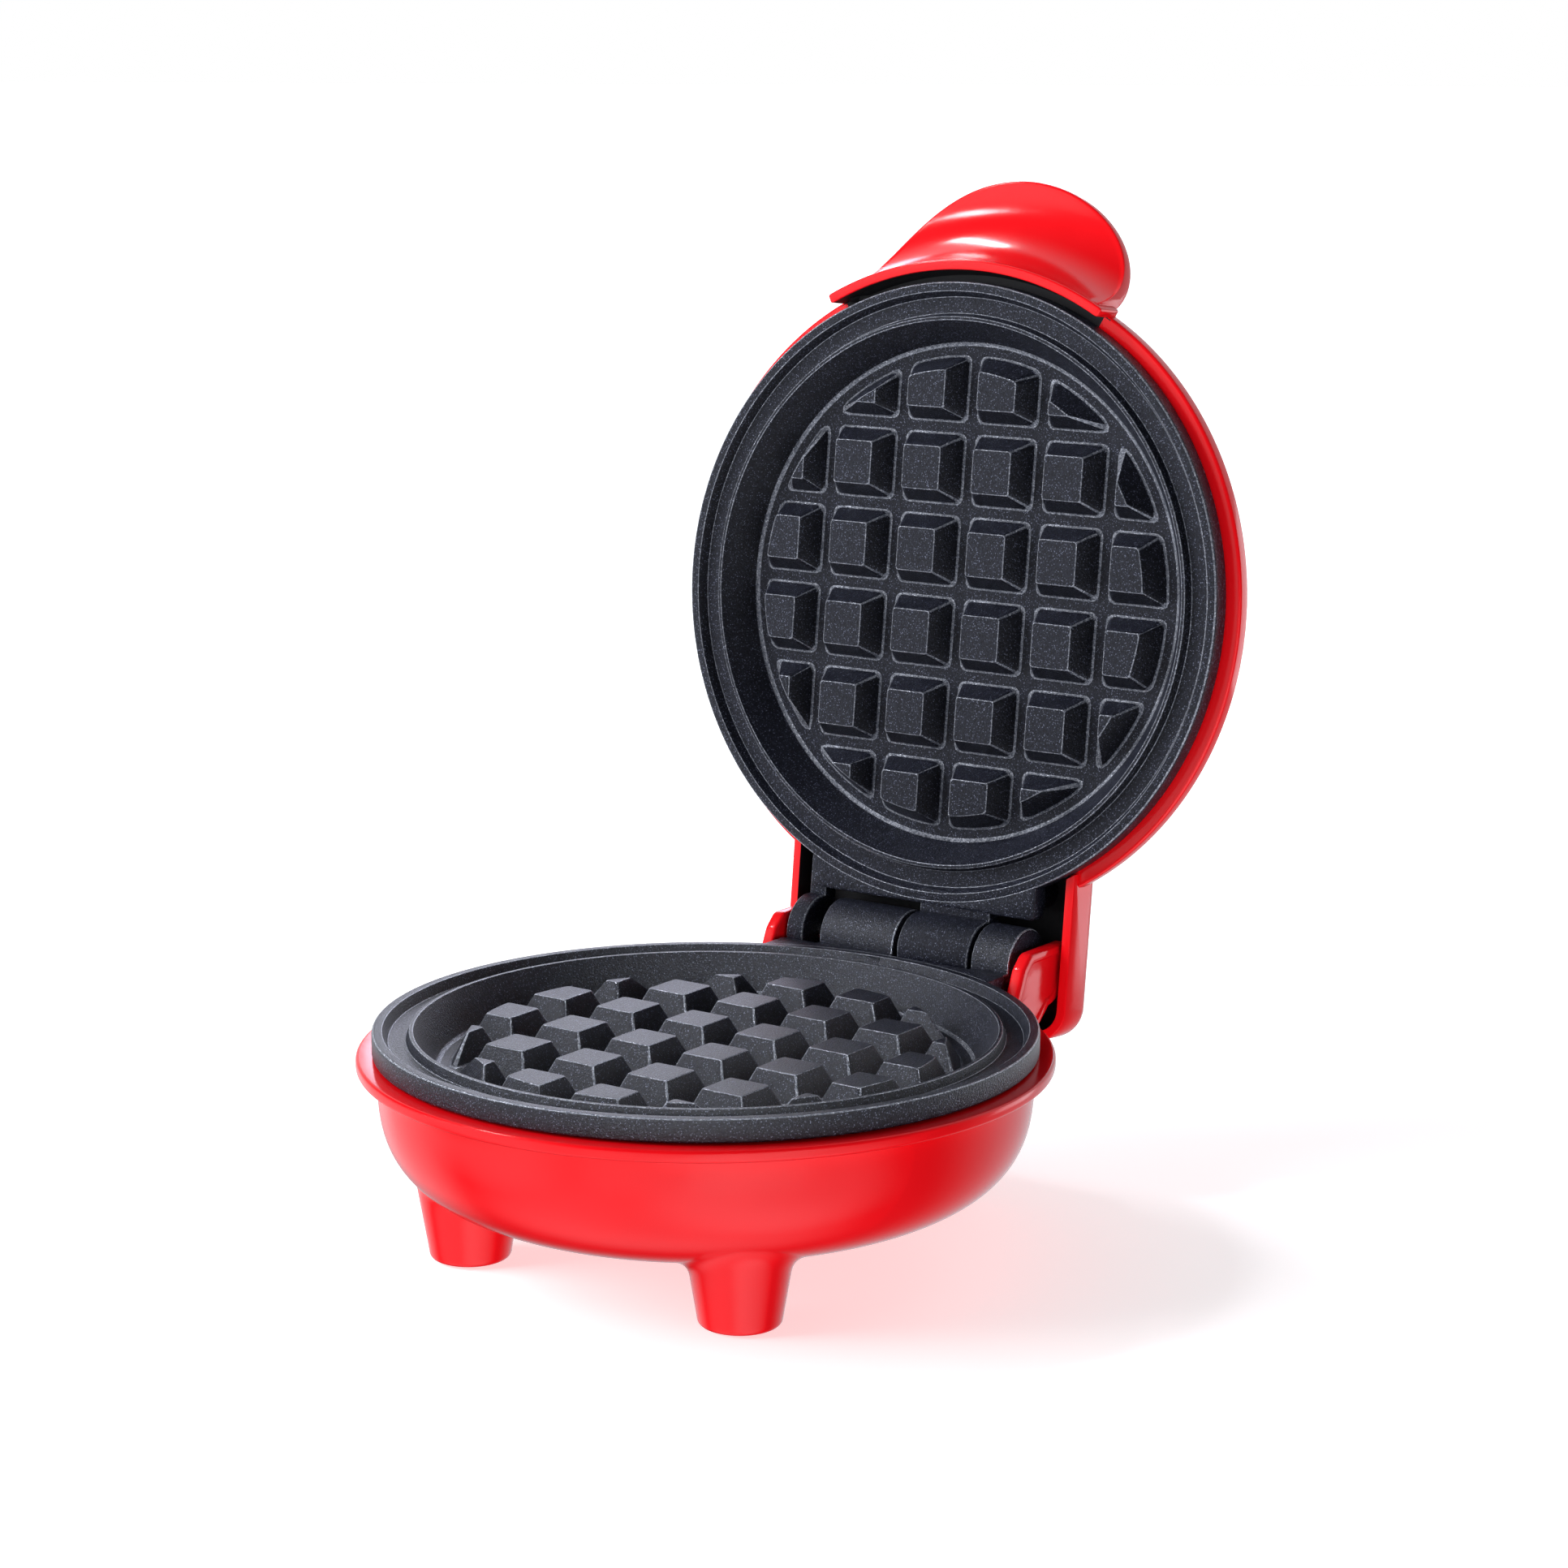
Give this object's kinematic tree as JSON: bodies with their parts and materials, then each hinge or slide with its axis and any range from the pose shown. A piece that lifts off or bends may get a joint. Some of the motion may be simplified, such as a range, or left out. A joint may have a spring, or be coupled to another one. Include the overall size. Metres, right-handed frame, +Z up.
{
  "type": "waffle maker",
  "caption": "Small round waffle maker with a glossy red clam-shell body, non-stick grid plates and a scooped front handle, lid wide open, without its cord",
  "frame": {"origin": "On the table top, directly under the centre of the cooking plates", "axes": "+X to the user's right, +Y away from the user towards the hinge, +Z up; the handle points to -Y when the lid is shut"},
  "size_m": [0.126, 0.1701, 0.1887],
  "materials": {
    "red_plastic": "high gloss moulded plastic with soft draft edges",
    "nonstick_coating": "satin non-stick coating on cast aluminium, finely speckled",
    "bright_steel": "turned and plated steel",
    "element_sheath": "heat-darkened steel sheath",
    "shield_aluminium": "thin rolled aluminium sheet",
    "pad_rubber": "matte soft rubber",
    "gland_plastic": "matte black nylon",
    "ceramic": "unglazed steatite",
    "wire_sleeving": "woven glass-fibre sleeving",
    "lens_amber": "clear amber moulded plastic",
    "lamp_glass": "clear glass neon lamp"
  },
  "bodies": {
    "base": {"base_housing": "red_plastic", "foot_pads": "pad_rubber", "base_screws": "bright_steel", "lower_plate": "nonstick_coating", "lower_element": "element_sheath", "lower_element_clips": "bright_steel", "lower_clip_screws": "bright_steel", "lower_heat_shield": "shield_aluminium", "thermal_fuse": "ceramic", "terminal_block": "ceramic", "terminal_screws": "bright_steel", "base_wiring": "wire_sleeving", "cord_gland": "gland_plastic", "hinge_pin": "bright_steel"},
    "lid": {"lid_housing": "red_plastic", "lid_screws": "bright_steel", "upper_plate": "nonstick_coating", "upper_element": "element_sheath", "upper_element_clips": "bright_steel", "upper_clip_screws": "bright_steel", "upper_heat_shield": "shield_aluminium", "thermostat": "ceramic", "neon_lamp": "lamp_glass", "indicator_lens": "lens_amber", "lid_wiring": "wire_sleeving"}
  },
  "joints": [
    {"name": "lid_hinge", "type": "hinge", "parent": "base", "child": "lid", "pos_m": [0, 0.069, 0.042], "axis": [1, 0, 0], "range_deg": [0, 96]}
  ]
}
